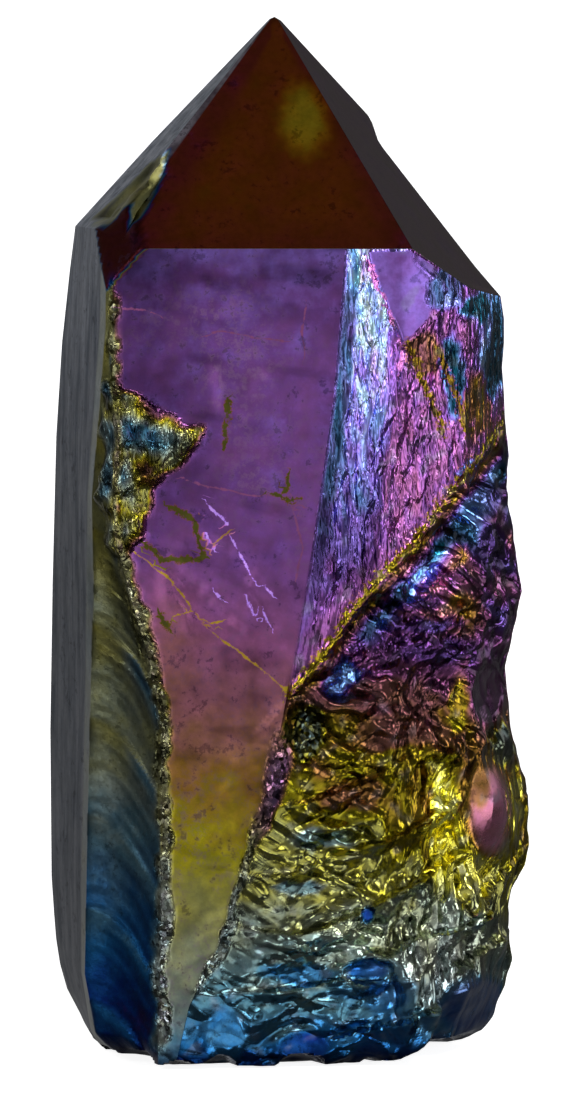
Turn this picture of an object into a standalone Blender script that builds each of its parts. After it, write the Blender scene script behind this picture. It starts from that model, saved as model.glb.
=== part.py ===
"""A titanium aura quartz point: one quartz crystal with a polished six-sided tip and broken, rippled sides.

The crystal is a loft. Ten long edges run from the sawn base up to the shoulder, and on from there to the tip.
The faces between two neighbouring edges are flat where the crystal was polished. Where it was broken, the
fracture functions below push them in or out: ledges, ripples, chips, lumps and a raised diagonal ridge.

The crystal stands on z = 0, and its purple face looks along -Y. Lengths in this file are in millimetres and
are turned into metres by MM when the mesh is made. A place on the front is given as (across, up): across is x,
and up is the height at which the front view shows it, from a little above.
"""

import math

import bmesh
import bpy
import numpy as np
from mathutils import Vector, noise

MM = 0.001

TIP = (-1.6, 1.25, 104.3)
TIP_TOP = 103.9
FRONT_Y = -17.0
SHOULDER_Z = 82.9
VIEW_TILT = math.radians(8)
BODY_ROWS = 56
RIDGE_ROW = 36
TIP_ROWS = 12

# The long edges, each from its end at the shoulder down to the base, as (x, y, z).
LEFT_OUTER = [
    (-21.55, -3.4, 83.44), (-22.1, -3.1, 79.0), (-22.9, -2.6, 71.6), (-23.5, -2.0, 62.0), (-23.9, -1.0, 47.0),
    (-24.15, -0.5, 32.0), (-24.05, 0.0, 17.0), (-23.8, 0.0, 13.2), (-23.6, 0.0, 10.7), (-23.2, 0.0, 8.1),
    (-22.5, 0.0, 5.6), (-21.2, 0.0, 3.1), (-20.1, 0.2, 0.6), (-19.4, 0.5, 0.0),
]
LEFT_SHOULDER = [
    (-18.73, -15.47, 84.6), (-18.9, -15.3, 75.0), (-20.2, -13.4, 57.5), (-20.4, -11.7, 40.0),
    (-20.9, -11.1, 18.0), (-20.9, -11.0, 9.0), (-20.0, -10.2, 3.0), (-18.6, -8.0, 0.0),
]
LEFT_INNER = [
    (-18.35, FRONT_Y, SHOULDER_Z), (-18.4, -16.9, 75.0), (-19.0, -16.2, 67.0), (-19.8, -15.0, 57.5),
    (-19.6, -14.0, 48.0), (-19.9, -13.2, 40.0), (-20.3, -12.8, 24.0), (-20.6, -12.4, 9.0),
    (-19.5, -12.2, 3.0), (-17.0, -10.6, 0.0),
]
PURPLE_LEFT = [
    (-17.8, FRONT_Y, SHOULDER_Z), (-17.3, FRONT_Y, 54.0), (-15.8, FRONT_Y, 47.5), (-14.2, FRONT_Y, 42.0),
    (-12.6, FRONT_Y, 34.0), (-12.9, FRONT_Y, 28.0), (-12.9, FRONT_Y, 13.0), (-13.3, FRONT_Y, 0.0),
]
PURPLE_RIGHT = [
    (5.95, FRONT_Y, SHOULDER_Z), (4.7, FRONT_Y, 67.6), (2.5, FRONT_Y, 52.4), (0.0, FRONT_Y, 38.0),
    (-1.9, FRONT_Y, 28.0), (-5.3, FRONT_Y, 19.0), (-6.9, FRONT_Y, 13.0), (-10.1, FRONT_Y, 6.5),
    (-11.6, FRONT_Y, 0.0),
]
PINK_RIDGE = [
    (12.15, FRONT_Y, SHOULDER_Z), (11.6, -16.7, 78.0), (10.75, -15.9, 72.6), (10.2, -15.4, 65.6),
    (9.3, -15.0, 57.0), (8.5, -15.1, 48.8), (10.0, -15.3, 43.0), (11.5, -15.4, 36.0), (12.5, -15.5, 26.0),
    (12.4, -15.8, 14.0), (11.8, -15.8, 5.0), (10.9, -14.8, 1.5), (10.0, -13.4, 0.0),
]
FRONT_RIGHT = [
    (17.9, -10.0, 78.05), (17.6, -11.0, 72.0), (17.3, -11.5, 64.0), (17.1, -11.7, 59.1), (18.0, -11.0, 48.0),
    (17.8, -11.0, 40.0), (18.9, -10.5, 27.0), (17.8, -11.0, 12.0), (17.4, -10.4, 5.0), (16.3, -9.2, 1.9),
    (12.8, 0.5, 0.0),
]
RIGHT_OUTER = [
    (21.05, -3.0, 76.3), (21.4, -3.0, 74.0), (21.4, -3.0, 71.6), (21.2, -3.0, 69.1), (21.4, -3.0, 66.5),
    (21.5, -2.5, 64.0), (21.9, -2.2, 60.0), (22.0, -2.0, 55.0), (22.5, -2.0, 51.3), (22.8, -2.0, 48.8),
    (23.3, -2.0, 46.3), (22.9, -2.0, 43.8), (22.2, -2.0, 41.2), (21.5, -2.0, 38.7), (21.8, -2.0, 35.5),
    (22.3, -1.5, 31.1), (23.0, -1.0, 28.5), (23.8, -1.0, 26.0), (24.1, -1.0, 23.5), (24.0, -1.0, 20.9),
    (23.2, -1.0, 18.4), (22.4, -1.0, 15.9), (22.0, -1.0, 13.0), (21.8, -0.5, 10.5), (21.6, 0.0, 8.0),
    (21.2, 0.0, 5.6), (20.6, 0.0, 3.0), (19.5, 0.0, 1.4), (18.2, 0.3, 0.5), (16.5, 1.0, 0.0),
]
BACK_RIGHT = [(13.6, 15.6, 79.6), (15.0, 16.6, 40.0), (14.6, 16.2, 6.0), (12.6, 14.8, 0.0)]
BACK_LEFT = [(-12.6, 16.8, 81.6), (-13.9, 17.8, 40.0), (-13.4, 17.3, 6.0), (-11.4, 15.8, 0.0)]

# Two of the tip's edges aren't straight: (share of the way to the tip, point). The left one bulges a little.
# The right one was chipped, so above the chip it runs further back than it does below.
BENT_TIP_EDGES = [
    (LEFT_OUTER, [(0.388, (-13.95, -0.59, 91.53))]),
    (RIGHT_OUTER, [
        (0.105, (18.55, -3.03, 79.25)), (0.543, (8.85, -0.31, 91.49)), (0.614, (8.05, 3.43, 93.49)),
    ]),
]

# For each long edge: (edge, its direction outwards, mesh columns from it to the next edge, height on it of
# the row that follows the diagonal ridge).
LONG_EDGES = [
    (LEFT_OUTER, (-1.0, -0.1), 6, 53.0),
    (LEFT_SHOULDER, (-0.85, -0.5), 1, 53.0),
    (LEFT_INNER, (-0.7, -0.7), 6, 51.0),
    (PURPLE_LEFT, (-0.15, -1.0), 12, 48.0),
    (PURPLE_RIGHT, (0.05, -1.0), 11, 38.1),
    (PINK_RIDGE, (0.35, -0.93), 11, 48.8),
    (FRONT_RIGHT, (0.75, -0.66), 8, 59.1),
    (RIGHT_OUTER, (0.98, -0.2), 7, 63.6),
    (BACK_RIGHT, (0.6, 0.8), 6, 57.0),
    (BACK_LEFT, (-0.6, 0.8), 6, 53.0),
]
# The faces that the relief treats apart, by the number of the long edge at their left.
WEDGE = 2
STRIP = 4
BACK = 7

# Outlines and lines on the front, as (across, up).
RIDGE = [
    (0.0, 38.1), (3.2, 41.8), (6.0, 46.2), (9.5, 50.2), (13.0, 54.4), (16.0, 58.5), (19.0, 62.0), (22.0, 66.4),
]
PLATEAU = [
    (7.6, 82.9), (12.1, 82.9), (14.3, 81.4), (14.9, 79.0), (13.9, 75.9), (11.1, 72.8), (9.5, 77.4), (8.0, 81.0),
]
CRUST = [
    (-18.7, 69.1), (-17.0, 69.2), (-15.0, 68.1), (-13.0, 66.4), (-10.5, 65.1), (-8.7, 64.7), (-9.0, 63.0),
    (-10.5, 61.3), (-12.5, 60.5), (-13.3, 59.0), (-14.0, 57.5), (-14.8, 53.9), (-15.6, 52.6), (-17.2, 52.2),
    (-18.5, 52.9), (-19.1, 57.5),
]
CORNER_CHIP = [
    (-12.0, 93.0), (-12.8, 90.2), (-14.2, 87.0), (-15.5, 85.2), (-18.2, 83.6), (-18.9, 85.0), (-20.0, 86.0),
    (-17.0, 88.6), (-14.2, 91.5),
]
# The facet that takes off the shoulder's left front corner: a point on it and its direction outwards.
CORNER_FACET = ((-15.05, FRONT_Y, 82.6), (-0.524, -0.706, 0.475))

# Bumps and pits on the broken side: (across, up, half width, half height, how far they stand out).
LUMPS = [
    (19.9, 26.6, 2.3, 4.2, 2.4),
    (15.0, 25.5, 2.0, 5.5, 0.9),
    (17.5, 47.0, 3.6, 3.0, 1.0),
    (11.5, 46.0, 3.0, 2.2, 0.7),
    (20.5, 35.5, 2.2, 4.0, 0.8),
    (7.5, 34.0, 3.5, 2.0, 0.7),
    (2.6, 37.3, 1.5, 1.2, 1.3),
    (1.1, 33.4, 2.0, 3.0, -3.0),
    (9.6, 11.0, 3.4, 2.2, 1.0),
    (3.0, 5.0, 5.0, 2.4, -0.8),
    (18.5, 8.5, 3.4, 3.0, 0.7),
    (14.6, 4.0, 2.2, 3.0, -1.2),
]

# Scoops that shells of stone broke out of: (across, up, half length, half width, turn in degrees, depth).
SHELLS = [
    (6.4, 12.9, 4.2, 1.7, 32, 0.9),
    (7.6, 10.2, 2.7, 1.3, 16, 0.9),
    (9.2, 7.4, 2.8, 2.0, 50, 0.8),
    (3.5, 23.2, 3.2, 1.3, 4, 0.6),
    (0.4, 18.3, 3.6, 1.4, 18, 0.6),
    (1.6, 14.2, 4.2, 1.4, 14, 0.7),
    (0.6, 9.6, 4.4, 1.5, 8, 0.6),
    (-4.0, 6.2, 3.4, 1.4, 14, 0.5),
    (1.4, 3.0, 3.4, 2.2, 8, 1.0),
    (17.6, 12.2, 4.8, 2.8, 66, 0.8),
    (17.9, 5.8, 4.0, 2.2, 36, 0.7),
    (12.6, 18.4, 2.8, 1.2, 76, 0.5),
    (16.5, 49.5, 3.4, 2.0, 25, 0.9),
    (11.5, 44.6, 3.4, 1.6, 20, 0.8),
    (18.4, 56.4, 3.2, 1.8, 42, 0.8),
    (14.0, 54.0, 2.4, 1.4, 40, 0.6),
    (19.9, 38.2, 3.6, 1.7, 80, 0.7),
    (14.2, 35.8, 3.6, 1.5, 30, 0.6),
    (8.2, 34.4, 3.8, 1.4, 30, 0.5),
    (13.4, 30.8, 3.4, 1.3, 24, 0.5),
    (6.8, 28.6, 4.4, 2.0, 12, 0.5),
]


def smooth(value, low, high):
    """0 below low, 1 above high, and a smooth rise between them."""
    share = np.clip((value - low) / (high - low), 0.0, 1.0)
    return share * share * (3.0 - 2.0 * share)


def line_distance(line, across, up):
    """How far each point is from a line of several stretches: positive above it, negative below it."""
    nearest = np.full(across.shape, 1e9)
    side = np.ones(across.shape)
    for (ax, au), (bx, bu) in zip(line, line[1:]):
        length = math.hypot(bx - ax, bu - au)
        dx, du = (bx - ax) / length, (bu - au) / length
        along = np.clip((across - ax) * dx + (up - au) * du, 0.0, length)
        gap = np.hypot(across - ax - along * dx, up - au - along * du)
        cross = dx * (up - au) - du * (across - ax)
        side = np.where(gap < nearest, np.where(cross < 0, -1.0, 1.0), side)
        nearest = np.minimum(nearest, gap)
    return nearest * side


def depth_inside(outline, across, up):
    """How far each point is inside a closed outline, and negative outside it."""
    closed = [*outline, outline[0]]
    inside = np.zeros(across.shape, bool)
    for (ax, au), (bx, bu) in zip(closed, closed[1:]):
        if au == bu:
            continue
        crosses = (au > up) != (bu > up)
        inside ^= crosses & (across < ax + (bx - ax) * (up - au) / (bu - au))
    return np.abs(line_distance(closed, across, up)) * np.where(inside, 1.0, -1.0)


def grain(points, size, seed=0):
    """Smooth noise from -1 to 1 whose bumps are about size millimetres wide."""
    shift = Vector((seed * 7.31, seed * 3.77, seed * 5.13))
    flat = points.reshape(-1, 3) / size
    return np.array([noise.noise(Vector(p) + shift) for p in flat]).reshape(points.shape[:-1])


def dishes(points, size, seed=0):
    """Shallow dishes about size millimetres wide that meet in sharp ridges, as quartz breaks: 0 to about 1."""
    shift = Vector((seed * 4.19, seed * 6.07, seed * 2.53))
    flat = points.reshape(-1, 3) / size
    nearest = [noise.voronoi(Vector(p) + shift)[0][0] for p in flat]
    return (np.array(nearest) ** 2 * 1.6).reshape(points.shape[:-1])


def slanted(points, turn, stretch):
    """The points turned about Y by turn degrees and shortened along the turned X, for marks along it."""
    cos, sin = math.cos(math.radians(turn)), math.sin(math.radians(turn))
    x, y, z = points[..., 0], points[..., 1], points[..., 2]
    return np.stack([(x * cos + z * sin) / stretch, y, z * cos - x * sin], axis=-1)


def edge_points(edge, ridge_height):
    """Points up an edge, from base to shoulder. Row RIDGE_ROW is at the ridge's height on that edge."""
    rising = np.array(edge[::-1])
    below = np.linspace(0.0, ridge_height, RIDGE_ROW + 1)
    above = np.linspace(ridge_height, rising[-1, 2], BODY_ROWS - RIDGE_ROW + 1)[1:]
    heights = np.concatenate([below, above])
    return np.stack([np.interp(heights, rising[:, 2], rising[:, axis]) for axis in range(3)], axis=-1)


def tip_points(edge, shares):
    """Points at the given shares of the way from an edge's shoulder to the tip."""
    bends = next((bends for bent, bends in BENT_TIP_EDGES if bent is edge), [])
    places = [0.0] + [share for share, _ in bends] + [1.0]
    stops = np.array([edge[0]] + [point for _, point in bends] + [TIP])
    return np.stack([np.interp(shares, places, stops[:, axis]) for axis in range(3)], axis=-1)


def loft():
    """The plain crystal as a grid of points, with each column's edge number, share and direction."""
    body = [edge_points(edge, ridge_height) for edge, _, _, ridge_height in LONG_EDGES]
    tip = [tip_points(edge, np.linspace(0.0, 1.0, TIP_ROWS + 1)[1:]) for edge, _, _, _ in LONG_EDGES]
    rows = [np.concatenate(pair) for pair in zip(body, tip)]
    columns, edges, shares, outwards = [], [], [], []
    for k, (_, direction, count, _) in enumerate(LONG_EDGES):
        following = (k + 1) % len(LONG_EDGES)
        for step in range(count):
            share = step / count
            columns.append(rows[k] * (1 - share) + rows[following] * share)
            edges.append(k)
            shares.append(share)
            outward = np.array(direction) * (1 - share) + np.array(LONG_EDGES[following][1]) * share
            outwards.append([*(outward / np.linalg.norm(outward)), 0.0])
    return np.stack(columns, axis=1), np.array(edges), np.array(shares), np.array(outwards)


def seen_height(points):
    """The height at which the front view shows a point."""
    return points[..., 2] + (points[..., 1] - FRONT_Y) * math.tan(VIEW_TILT)


def edge_x(edge, heights):
    """The x of a long edge at the given heights."""
    rising = np.array(edge[::-1])
    return np.interp(heights, rising[:, 2], rising[:, 0])


def ripple(phase):
    """A rise that ends in a sharp drop, once for each whole number of phase: from 0 to 1."""
    turn = phase - np.floor(phase)
    return turn * turn * (1.0 - smooth(turn, 0.93, 1.0))


def wedge_fracture(points, shares, across, up):
    """The shell-like fracture at the lower left: a shallow scoop with curved ledges across it."""
    below = 1.0 - smooth(up, 50.0, 55.0)
    scoop = -1.1 * np.sin(math.pi * shares)
    curve = up + 9.0 * np.clip((across + 20.2) / 7.5, 0.0, 1.2) ** 1.7
    ledges = 0.8 * ripple(curve / 9.6 + 0.25) + 0.2 * ripple(curve / 3.2)
    return below * (scoop + ledges * np.sin(math.pi * shares) ** 0.5 * smooth(up, 0.0, 3.0))


def shell_scoops(across, up):
    """Smooth scoops with sharp rims."""
    out = np.zeros(across.shape)
    for x, height, half_length, half_width, turn, depth in SHELLS:
        cos, sin = math.cos(math.radians(turn)), math.sin(math.radians(turn))
        along = ((across - x) * cos + (up - height) * sin) / half_length
        beside = ((up - height) * cos - (across - x) * sin) / half_width
        out -= depth * np.clip(1.0 - along * along - beside * beside, 0.0, 1.0)
    return out


def broken_side(points, across, up):
    """The broken lower right: a groove under the ridge, then dishes and ledges that rise to the right."""
    ridge = line_distance(RIDGE, across, up)
    below = smooth(-ridge, 0.0, 1.5)
    groove = -1.9 * np.exp(-(((ridge + 3.2) / 2.0) ** 2))
    curve = up - 0.28 * (across + 5.0) - 0.02 * (across - 4.0) ** 2 + 1.3 * grain(points, 8.0, 1)
    ledges = 1.6 * ripple(curve / 6.4) * (1.0 - smooth(up, 27.0, 34.0))
    broken = 2.4 * dishes(slanted(points, 28, 1.8), 4.8, 2) + 0.5 * grain(points, 5.0, 3)
    return below * (groove + ledges + broken - 1.7 + shell_scoops(across, up))


def upper_right(points, across, up, right_of_purple):
    """The rough strip right of the purple face and above the ridge, with the smooth plateau at its top."""
    ridge = line_distance(RIDGE, across, up)
    above = smooth(ridge, 0.0, 1.0)
    crest = 0.7 * np.exp(-((ridge / 0.8) ** 2))
    streaks = 0.5 * dishes(slanted(points, 84, 4.0), 1.8, 4) + 0.2 * grain(points, 3.0, 5)
    plateau = smooth(depth_inside(PLATEAU, across, up), -0.3, 0.4)
    level = points[..., 1] + 16.9 - 0.45 * np.clip(across - 12.0, 0.0, 3.0)
    edge = smooth(right_of_purple, 0.0, 1.5)
    return crest + above * edge * (plateau * level + (1.0 - plateau) * (streaks - 0.2))


def column_weights(edges, shares, weights):
    """One weight per column: each long edge's own, blended evenly between neighbouring edges."""
    table = np.array(weights)
    return table[edges] * (1.0 - shares) + table[(edges + 1) % len(table)] * shares


def front_relief(points, edges, shares):
    """How far each grid point stands out from the plain crystal."""
    across, up = points[..., 0], seen_height(points)
    front = points[..., 1] < 0.0
    body = smooth(points[BODY_ROWS, :, 2] - points[..., 2], 0.0, 1.8)
    wedge = wedge_fracture(points, shares[None, :], across, up)
    relief = np.where((edges == WEDGE)[None, :], wedge, 0.0)
    crust = smooth(depth_inside(CRUST, across, up), -0.2, 1.2) * front
    relief += crust * (0.2 + 1.1 * dishes(points, 2.4, 6))
    rough = broken_side(points, across, up)
    for x, height, half_width, half_height, out in LUMPS:
        rough += out * np.exp(-(((across - x) / half_width) ** 2) - ((up - height) / half_height) ** 2)
    right = column_weights(edges, shares, (0, 0, 0, 0, 0.1, 1, 1, 0.12, 0, 0))
    relief += body * right * rough
    upper = column_weights(edges, shares, (0, 0, 0, 0, 1, 1, 0.6, 0.0, 0, 0)) * (edges >= STRIP)
    relief += body * upper * upper_right(points, across, up, across - edge_x(PURPLE_RIGHT, points[..., 2]))
    chip = smooth(depth_inside(CORNER_CHIP, across, up), -0.1, 1.0) * front
    relief -= chip * (0.6 + 0.6 * dishes(points, 2.0, 7))
    root = 1.0 - smooth(points[..., 2], 14.0, 32.0)
    behind = column_weights(edges, shares, (0, 0, 0, 0, 0, 0, 0, 0.5, 1, 1)) * (edges >= BACK)
    relief += body * root * behind * (1.6 * dishes(slanted(points, -20, 1.5), 6.5, 8) - 0.9)
    return relief


def crystal_points():
    """The finished grid of points, in millimetres."""
    points, edges, shares, outwards = loft()
    relief = front_relief(points, edges, shares)
    inset = 1.0 - smooth(points[..., 2], 0.0, 2.5)
    chipped = 0.5 * inset * (0.5 + 0.5 * grain(points, 4.0, 9))
    points = points + outwards[None, :, :] * (relief - chipped)[..., None]
    spot, outward = np.array(CORNER_FACET[0]), np.array(CORNER_FACET[1])
    over = np.clip((points - spot) @ outward, 0.0, None)
    left_front = (points[..., 0] < -10.0) & (points[..., 1] < -8.0)
    points -= np.where(left_front, over, 0.0)[..., None] * outward
    points[..., 2] -= 0.8 * np.clip(points[..., 2] - TIP_TOP, 0.0, None)
    points[0, :, 2] = 0.0
    return points


def build_crystal(collection):
    """Rolls a flat grid into the crystal, welds its seam and its tip, and closes the sawn base."""
    points = crystal_points()
    row_count, column_count = points.shape[:2]
    mesh = bmesh.new()
    bmesh.ops.create_grid(mesh, x_segments=column_count, y_segments=row_count - 1, size=0.5)
    for vert in mesh.verts:
        column = round((vert.co.x + 0.5) * column_count) % column_count
        row = round((vert.co.y + 0.5) * (row_count - 1))
        vert.co = Vector(points[row, column]) * MM
    bmesh.ops.remove_doubles(mesh, verts=mesh.verts, dist=1e-7)
    rim = [edge for edge in mesh.edges if edge.is_boundary]
    bmesh.ops.edgeloop_fill(mesh, edges=rim)
    bmesh.ops.recalc_face_normals(mesh, faces=mesh.faces)
    data = bpy.data.meshes.new("quartz_point")
    mesh.to_mesh(data)
    mesh.free()
    data.materials.append(aura_film())
    crystal = bpy.data.objects.new("quartz_point", data)
    collection.objects.link(crystal)


def aura_film():
    """The metal-oxide film: dark purple, and shiny as metal."""
    material = bpy.data.materials.new("aura_film")
    material.use_nodes = True
    shader = material.node_tree.nodes["Principled BSDF"]
    shader.inputs["Base Color"].default_value = (0.13, 0.06, 0.2, 1.0)
    shader.inputs["Metallic"].default_value = 0.8
    shader.inputs["Roughness"].default_value = 0.35
    return material


def main():
    for obj in list(bpy.data.objects):
        bpy.data.objects.remove(obj)
    collection = bpy.data.collections.new("titanium_aura_quartz")
    bpy.context.scene.collection.children.link(collection)
    build_crystal(collection)


main()
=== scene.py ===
"""A titanium aura quartz point: the broken stone in fine detail, under its iridescent metal-oxide film.

The crystal is lofted through the same long edges as its solid, on a much finer grid, and the fracture
functions push the grid in and out. Each point of the grid then gets the film's thickness, and the material
turns that thickness into the colour that a film of it shows.

Lengths are in millimetres, and MM turns them into metres. A place on the front is given as (across, up):
across is x, and up is the height at which the front view shows it, from a little above.
"""

import math

import bmesh
import bpy
import numpy as np
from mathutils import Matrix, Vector, noise


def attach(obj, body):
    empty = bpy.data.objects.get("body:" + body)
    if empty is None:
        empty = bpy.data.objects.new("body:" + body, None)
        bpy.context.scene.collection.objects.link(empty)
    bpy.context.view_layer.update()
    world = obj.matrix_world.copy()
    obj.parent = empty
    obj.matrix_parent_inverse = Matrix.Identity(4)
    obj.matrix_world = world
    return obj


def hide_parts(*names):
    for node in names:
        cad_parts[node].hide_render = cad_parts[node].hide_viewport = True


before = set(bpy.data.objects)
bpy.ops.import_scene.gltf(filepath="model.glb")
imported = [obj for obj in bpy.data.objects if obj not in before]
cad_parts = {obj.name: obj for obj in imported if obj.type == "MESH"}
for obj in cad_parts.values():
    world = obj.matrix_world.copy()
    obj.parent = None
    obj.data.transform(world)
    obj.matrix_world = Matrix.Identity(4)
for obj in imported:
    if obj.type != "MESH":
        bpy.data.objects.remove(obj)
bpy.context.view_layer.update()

MM = 0.001

TIP = (-1.6, 1.25, 104.3)
TIP_TOP = 103.9
FRONT_Y = -17
SHOULDER_Z = 82.9
VIEW_TILT = math.radians(8)
BODY_ROWS = 280
RIDGE_ROW = 180
TIP_ROWS = 40
SHOULDER_GAP = 0.05

# The long edges, each from its end at the shoulder down to the base, as (x, y, z).
LEFT_OUTER = [
    (-21.55, -3.4, 83.44), (-22.1, -3.1, 79), (-22.9, -2.6, 71.6), (-23.5, -2, 62), (-23.9, -1, 47),
    (-24.15, -0.5, 32), (-24.05, 0, 17), (-23.8, 0, 13.2), (-23.6, 0, 10.7), (-23.2, 0, 8.1), (-22.5, 0, 5.6),
    (-21.2, 0, 3.1), (-20.1, 0.2, 0.6), (-19.4, 0.5, 0),
]
LEFT_SHOULDER = [
    (-18.73, -15.47, 84.6), (-18.9, -15.3, 75), (-20.2, -13.4, 57.5), (-20.4, -11.7, 40), (-20.9, -11.1, 18),
    (-20.9, -11, 9), (-20, -10.2, 3), (-18.6, -8, 0),
]
LEFT_INNER = [
    (-18.35, FRONT_Y, SHOULDER_Z), (-18.4, -16.9, 75), (-19, -16.2, 67), (-19.8, -15, 57.5), (-19.6, -14, 48),
    (-19.9, -13.2, 40), (-20.3, -12.8, 24), (-20.6, -12.4, 9), (-19.5, -12.2, 3), (-17, -10.6, 0),
]
PURPLE_LEFT = [
    (-17.8, FRONT_Y, SHOULDER_Z), (-17.3, FRONT_Y, 54), (-15.8, FRONT_Y, 47.5), (-14.2, FRONT_Y, 42),
    (-12.6, FRONT_Y, 34), (-12.9, FRONT_Y, 28), (-12.9, FRONT_Y, 13), (-13.3, FRONT_Y, 0),
]
PURPLE_RIGHT = [
    (5.95, FRONT_Y, SHOULDER_Z), (4.7, FRONT_Y, 67.6), (2.5, FRONT_Y, 52.4), (0, FRONT_Y, 38),
    (-1.9, FRONT_Y, 28), (-5.3, FRONT_Y, 19), (-6.9, FRONT_Y, 13), (-10.1, FRONT_Y, 6.5), (-11.6, FRONT_Y, 0),
]
PINK_RIDGE = [
    (12.15, FRONT_Y, SHOULDER_Z), (11.6, -16.7, 78), (10.75, -15.9, 72.6), (10.2, -15.4, 65.6),
    (9.3, -15, 57), (8.5, -15.1, 48.8), (10, -15.3, 43), (11.5, -15.4, 36), (12.5, -15.5, 26),
    (12.4, -15.8, 14), (11.8, -15.8, 5), (10.9, -14.8, 1.5), (10, -13.4, 0),
]
FRONT_RIGHT = [
    (17.9, -10, 78.05), (17.6, -11, 72), (17.3, -11.5, 64), (17.1, -11.7, 59.1), (18, -11, 48),
    (17.8, -11, 40), (18.9, -10.5, 27), (17.8, -11, 12), (17.4, -10.4, 5), (16.3, -9.2, 1.9), (12.8, 0.5, 0),
]
RIGHT_OUTER = [
    (21.05, -3, 76.3), (21.4, -3, 74), (21.4, -3, 71.6), (21.2, -3, 69.1), (21.4, -3, 66.5), (21.5, -2.5, 64),
    (21.9, -2.2, 60), (22, -2, 55), (22.5, -2, 51.3), (22.8, -2, 48.8), (23.3, -2, 46.3), (22.9, -2, 43.8),
    (22.2, -2, 41.2), (21.5, -2, 38.7), (21.8, -2, 35.5), (22.3, -1.5, 31.1), (23, -1, 28.5), (23.8, -1, 26),
    (24.1, -1, 23.5), (24, -1, 20.9), (23.2, -1, 18.4), (22.4, -1, 15.9), (22, -1, 13), (21.8, -0.5, 10.5),
    (21.6, 0, 8), (21.2, 0, 5.6), (20.6, 0, 3), (19.5, 0, 1.4), (18.2, 0.3, 0.5), (16.5, 1, 0),
]
BACK_RIGHT = [(13.6, 15.6, 79.6), (15, 16.6, 40), (14.6, 16.2, 6), (12.6, 14.8, 0)]
BACK_LEFT = [(-12.6, 16.8, 81.6), (-13.9, 17.8, 40), (-13.4, 17.3, 6), (-11.4, 15.8, 0)]

# Two of the tip's edges aren't straight: (share of the way to the tip, point). The left one bulges a little,
# and the right one was chipped, so above the chip it runs further back than it does below.
BENT_TIP_EDGES = [
    (LEFT_OUTER, [(0.388, (-13.95, -0.59, 91.53))]),
    (
        RIGHT_OUTER,
        [(0.105, (18.55, -3.03, 79.25)), (0.543, (8.85, -0.31, 91.49)), (0.614, (8.05, 3.43, 93.49))],
    ),
]

# (edge, its direction outwards, mesh columns from it to the next edge, height of the ridge's row on it)
LONG_EDGES = [
    (LEFT_OUTER, (-1, -0.1), 20, 53),
    (LEFT_SHOULDER, (-0.85, -0.5), 4, 53),
    (LEFT_INNER, (-0.7, -0.7), 26, 51),
    (PURPLE_LEFT, (-0.15, -1), 44, 48),
    (PURPLE_RIGHT, (0.05, -1), 72, 38.1),
    (PINK_RIDGE, (0.35, -0.93), 28, 48.8),
    (FRONT_RIGHT, (0.75, -0.66), 30, 59.1),
    (RIGHT_OUTER, (0.98, -0.2), 24, 63.6),
    (BACK_RIGHT, (0.6, 0.8), 26, 57),
    (BACK_LEFT, (-0.6, 0.8), 22, 53),
]
# The numbers of the long edges, which also stand for the faces that begin at them.
LEFT, CORNER, WEDGE, PURPLE, STRIP, ROUGH, SIDE, BACK = range(8)

# Outlines and lines on the front, as (across, up).
RIDGE = [(0, 38.1), (3.2, 41.8), (6, 46.2), (9.5, 50.2), (13, 54.4), (16, 58.5), (19, 62), (22, 66.4)]
PLATEAU = [
    (7.6, 82.9), (12.1, 82.9), (14.3, 81.4), (14.9, 79), (13.9, 75.9), (11.1, 72.8), (9.5, 77.4), (8, 81),
]
CRUST = [
    (-18.7, 69.1), (-17, 69.2), (-15, 68.1), (-13, 66.4), (-10.5, 65.1), (-8.7, 64.7), (-9, 63),
    (-10.5, 61.3), (-12.5, 60.5), (-13.3, 59), (-14, 57.5), (-14.8, 53.9), (-15.6, 52.6), (-17.2, 52.2),
    (-18.5, 52.9), (-19.1, 57.5),
]
CORNER_CHIP = [
    (-12, 93), (-12.8, 90.2), (-14.2, 87), (-15.5, 85.2), (-18.2, 83.6), (-18.9, 85), (-20, 86), (-17, 88.6),
    (-14.2, 91.5),
]
FACET_SPOT = np.array((-15.05, FRONT_Y, 82.6))
FACET_OUTWARD = np.array((-0.524, -0.706, 0.475))

# Bumps and pits on the broken side: (across, up, half width, half height, how far they stand out).
LUMPS = [
    (19.9, 26.6, 2.3, 4.2, 2.4),
    (15, 25.5, 2, 5.5, 0.9),
    (17.5, 47, 3.6, 3, 1),
    (11.5, 46, 3, 2.2, 0.7),
    (20.5, 35.5, 2.2, 4, 0.8),
    (7.5, 34, 3.5, 2, 0.7),
    (2.6, 37.3, 1.5, 1.2, 1.3),
    (1.1, 33.4, 2, 3, -3),
    (9.6, 11, 3.4, 2.2, 1),
    (3, 5, 5, 2.4, -0.8),
    (18.5, 8.5, 3.4, 3, 0.7),
    (14.6, 4, 2.2, 3, -1.2),
]

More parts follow.
